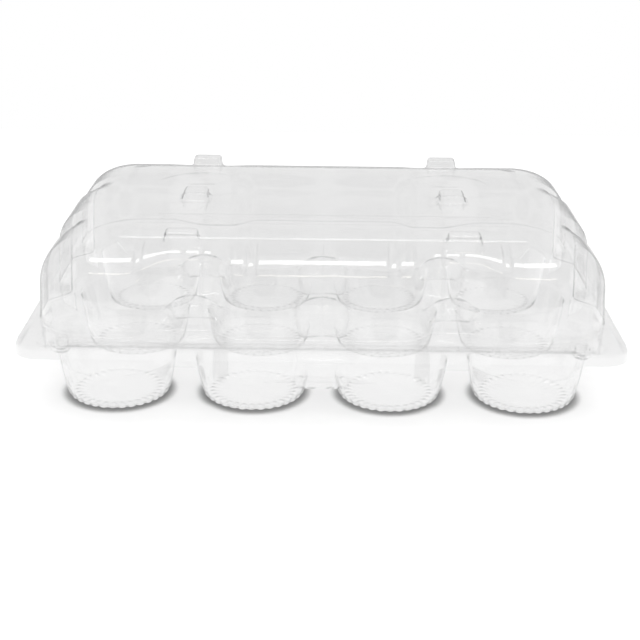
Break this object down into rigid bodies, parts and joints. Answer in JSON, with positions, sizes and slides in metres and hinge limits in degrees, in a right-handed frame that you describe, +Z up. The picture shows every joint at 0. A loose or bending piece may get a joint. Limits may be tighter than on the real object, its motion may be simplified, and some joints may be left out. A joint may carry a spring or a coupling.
{
  "type": "hinged cupcake carton",
  "caption": "Clear formed plastic carton with round cups in a flanged tray and a tall lobed lid with stacking lugs, joined by a living hinge along the back.",
  "frame": {"origin": "centre of the bounding box at the underside of the cups", "axes": "+X along the long side, to the right seen from the front; -Y towards the front, where the lid opens; +Z up"},
  "size_m": [0.343, 0.2626, 0.102],
  "materials": {
    "clear_tray_sheet": "clear, glossy, with faint forming texture",
    "clear_lid_sheet": "clear, glossy, with faint draw lines"
  },
  "bodies": {
    "tray": {"cup_row1_column1": "clear_tray_sheet", "cup_row1_column2": "clear_tray_sheet", "cup_row1_column3": "clear_tray_sheet", "cup_row1_column4": "clear_tray_sheet", "cup_row2_column1": "clear_tray_sheet", "cup_row2_column2": "clear_tray_sheet", "cup_row2_column3": "clear_tray_sheet", "cup_row2_column4": "clear_tray_sheet", "cup_row3_column1": "clear_tray_sheet", "cup_row3_column2": "clear_tray_sheet", "cup_row3_column3": "clear_tray_sheet", "cup_row3_column4": "clear_tray_sheet", "tray_flange": "clear_tray_sheet", "hinge_leaf_tray": "clear_tray_sheet", "snap_socket_left": "clear_tray_sheet", "snap_socket_right": "clear_tray_sheet"},
    "lid": {"lid_top_panel": "clear_lid_sheet", "lid_front_wall": "clear_lid_sheet", "lid_back_wall": "clear_lid_sheet", "lid_left_wall": "clear_lid_sheet", "lid_right_wall": "clear_lid_sheet", "lid_flange": "clear_lid_sheet", "hinge_leaf_lid": "clear_lid_sheet", "snap_stud_left": "clear_lid_sheet", "snap_stud_right": "clear_lid_sheet", "stacking_lug_front_left": "clear_lid_sheet", "stacking_lug_front_right": "clear_lid_sheet", "stacking_lug_middle_left": "clear_lid_sheet", "stacking_lug_middle_right": "clear_lid_sheet", "stacking_lug_back_left": "clear_lid_sheet", "stacking_lug_back_right": "clear_lid_sheet"}
  },
  "joints": [
    {"name": "lid_hinge", "type": "hinge", "parent": "tray", "child": "lid", "pos_m": [0, 0.1316, 0.04615], "axis": [-1, 0, 0], "range_deg": [0, 165]}
  ]
}
